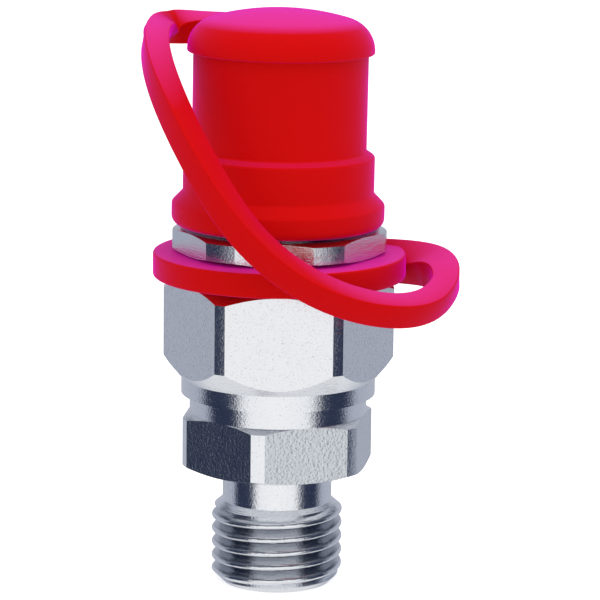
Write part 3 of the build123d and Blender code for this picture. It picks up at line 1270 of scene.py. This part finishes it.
@dataclass
class Studio:
    """Pale floor, soft light from a wide front and a bright back, dark sides, and the camera."""

    floor_height: float = -12.7 * MM
    floor_size: float = 3.0
    camera_place: Triple = (2.24 * MM, -325.5 * MM, 83.0 * MM)
    camera_aim: Triple = (2.24 * MM, 0.0, 17.9 * MM)
    camera_lens: float = 187.5
    camera_roll: float = 0.65
    fill_strength: float = 0.85
    front_edge: float = 45.0
    dark_from: float = 51.0
    dark_to: float = 98.0
    back_from: float = 101.0
    floor_shade: float = 0.9
    floor_glow: float = 0.55
    lamp_place: Triple = (0.05, -0.18, 0.5)
    lamp_size: float = 0.45
    lamp_watts: float = 1.1
    lamp_colour: Triple = (1.0, 0.97, 1.0)
    lamp_aim: Triple = (0.0, 0.0, 0.02)

    def build_world(self) -> None:
        """The surroundings: white to the eye, even fill, and the studio's pattern in the metal."""
        world = bpy.data.worlds.new("studio")
        bpy.context.scene.world = world
        world.use_nodes = True
        world.node_tree.nodes.clear()
        sheet = NodeSheet(world.node_tree)
        direction = sheet.add("ShaderNodeTexCoord").outputs["Generated"]
        parts = sheet.add("ShaderNodeSeparateXYZ", i0=direction)
        away = sheet.math("MULTIPLY", parts.outputs["Y"], -1.0)
        turn = sheet.math("ABSOLUTE", sheet.math("ARCTAN2", parts.outputs["X"], away))
        share = sheet.math("DIVIDE", turn, math.pi)
        height = sheet.math("ADD", sheet.math("MULTIPLY", parts.outputs["Z"], 0.5), 0.5)
        level = sheet.ramp(
            height,
            [
                (0.10, (0.80, 0.81, 0.83)),
                (0.40, (0.62, 0.64, 0.67)),
                (0.60, (0.08, 0.10, 0.14)),
                (0.86, (0.06, 0.07, 0.10)),
                (0.96, (0.22, 0.24, 0.28)),
            ],
        )
        white, black = (1.0, 1.0, 1.0), (0.0, 0.0, 0.0)
        tilted = sheet.ramp(height, [(0.12, white), (0.24, black), (0.66, black), (0.76, white)])
        pattern = sheet.ramp(
            share,
            [
                (0.0, (1.0, 1.0, 1.0)),
                (self.front_edge / 180, (0.92, 0.93, 0.95)),
                (self.dark_from / 180, (0.03, 0.04, 0.08)),
                (self.dark_to / 180, (0.02, 0.03, 0.065)),
                (self.back_from / 180, (0.40, 0.43, 0.51)),
                (1.0, (0.50, 0.52, 0.60)),
            ],
        )
        around = sheet.add("ShaderNodeMix", data_type="RGBA", i0=tilted, i6=pattern, i7=level)
        seen = sheet.add("ShaderNodeBackground", Color=(1, 1, 1, 1), Strength=1.0)
        mirrored = sheet.add("ShaderNodeBackground", Color=around.outputs[2], Strength=1.0)
        fill = sheet.add(
            "ShaderNodeBackground", Color=(0.98, 0.98, 1.0, 1), Strength=self.fill_strength
        )
        rays = sheet.add("ShaderNodeLightPath")
        gloss = sheet.math(
            "MAXIMUM", rays.outputs["Is Glossy Ray"], rays.outputs["Is Transmission Ray"]
        )
        inner = sheet.add(
            "ShaderNodeMixShader", i0=gloss, i1=fill.outputs[0], i2=mirrored.outputs[0]
        )
        outer = sheet.add(
            "ShaderNodeMixShader",
            i0=rays.outputs["Is Camera Ray"],
            i1=inner.outputs[0],
            i2=seen.outputs[0],
        )
        sheet.add("ShaderNodeOutputWorld", i0=outer.outputs[0])

    def build_floor(self) -> bpy.types.Object:
        """The pale floor, which keeps a faint shadow.

        Returns:
            The floor.
        """
        bpy.ops.object.select_all(action="DESELECT")
        bpy.ops.mesh.primitive_plane_add(size=self.floor_size, location=(0, 0, self.floor_height))
        floor = bpy.context.active_object
        floor.name = "floor"
        bpy.ops.object.transform_apply(location=True, rotation=True, scale=True)
        material, sheet, shader = new_material("pale_floor")
        shade = (self.floor_shade, self.floor_shade, self.floor_shade, 1)
        sheet.feed(shader, Base_Color=shade, Roughness=0.9)
        glow = sheet.add("ShaderNodeEmission", Color=(1, 1, 1, 1), Strength=self.floor_glow)
        rays = sheet.add("ShaderNodeLightPath")
        seen = sheet.add("ShaderNodeAddShader", i0=shader.outputs[0], i1=glow.outputs[0])
        either = sheet.math("MAXIMUM", rays.outputs["Is Camera Ray"], rays.outputs["Is Glossy Ray"])
        mix = sheet.add("ShaderNodeMixShader", i0=either, i1=shader.outputs[0], i2=seen.outputs[0])
        sheet.feed(material.node_tree.nodes["Material Output"], i0=mix.outputs[0])
        dress(floor, material)
        floor.visible_glossy = False
        return floor

    def build_lamp(self) -> bpy.types.Object:
        """A soft lamp above the camera, aimed at the middle of the coupling.

        Returns:
            The lamp.
        """
        light = bpy.data.lights.new("top_lamp", "AREA")
        light.size = self.lamp_size
        light.energy = self.lamp_watts
        light.color = self.lamp_colour
        lamp = bpy.data.objects.new("top_lamp", light)
        bpy.context.scene.collection.objects.link(lamp)
        lamp.location = self.lamp_place
        aim = Vector(self.lamp_aim) - Vector(self.lamp_place)
        lamp.rotation_euler = aim.to_track_quat("-Z", "Y").to_euler()
        lamp.visible_glossy = False
        return lamp

    def build_camera(self) -> bpy.types.Object:
        """The camera, a little above the coupling and rolled a little.

        Returns:
            The camera.
        """
        camera = bpy.data.objects.new("camera", bpy.data.cameras.new("camera"))
        bpy.context.scene.collection.objects.link(camera)
        camera.data.sensor_width = 36
        camera.data.lens = self.camera_lens
        camera.data.clip_start = 0.01
        camera.data.clip_end = 20
        camera.location = self.camera_place
        look = (Vector(self.camera_aim) - Vector(self.camera_place)).to_track_quat("-Z", "Y")
        roll = Quaternion((0, 0, 1), math.radians(self.camera_roll))
        camera.rotation_euler = (look @ roll).to_euler()
        bpy.context.scene.camera = camera
        return camera

    def build(self) -> None:
        """Sets the whole studio up."""
        bpy.context.scene.view_settings.view_transform = "Standard"
        self.build_world()
        self.build_floor()
        self.build_lamp()
        self.build_camera()


def main() -> None:
    """Builds every sub-assembly in order and reports its pieces."""
    logging.basicConfig(level=logging.INFO, format="%(name)s: %(message)s")
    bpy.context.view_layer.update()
    turned = ZincFinish("zinc_on_turned_steel").material()
    body_bar = ZincFinish(
        "zinc_on_body_bar",
        speck_colour=(0.42, 0.44, 0.49),
        roughness=0.2,
        grain_size=0.2,
        grain_depth=0.045,
        mark_depth=0.02,
    ).material()
    # Darker copy of the plating on the stud's hexagon flats: painted shade standing in for their
    # dimmer reflection.
    stud_flats_painted_shade = ZincFinish(
        "zinc_stud_flats_painted_shade",
        colour=(0.70, 0.73, 0.76),
        speck_colour=(0.38, 0.41, 0.46),
        roughness=0.22,
        grain_size=0.26,
        grain_depth=0.035,
        mark_depth=0.01,
    ).material()
    # Darker copy of the plating for the thread's grooves: painted shade.
    thread_painted_shade = ZincFinish(
        "zinc_thread_painted_shade",
        colour=(0.58, 0.60, 0.64),
        speck_colour=(0.34, 0.36, 0.40),
        grain_depth=0.012,
    ).material()
    nut_plating = ZincFinish(
        "zinc_on_nut",
        colour=(0.78, 0.80, 0.84),
        speck_colour=(0.36, 0.38, 0.44),
        grain_size=0.16,
        grain_depth=0.03,
        mark_depth=0.03,
    ).material()
    for piece in ThreadedSteel().dress(turned, body_bar, stud_flats_painted_shade, thread_painted_shade):
        LOG.info("steel part %s: %d faces", piece.name, len(piece.data.polygons))
    for piece in Moulding().dress(MouldedFinish()):
        LOG.info("moulded piece %s: %d faces", piece.name, len(piece.data.polygons))
    for node in InnerParts().dress(nut_plating):
        LOG.info("inner part %s: %d faces", node.name, len(node.data.polygons))
    Studio().build()


if __name__ == "__main__":
    main()
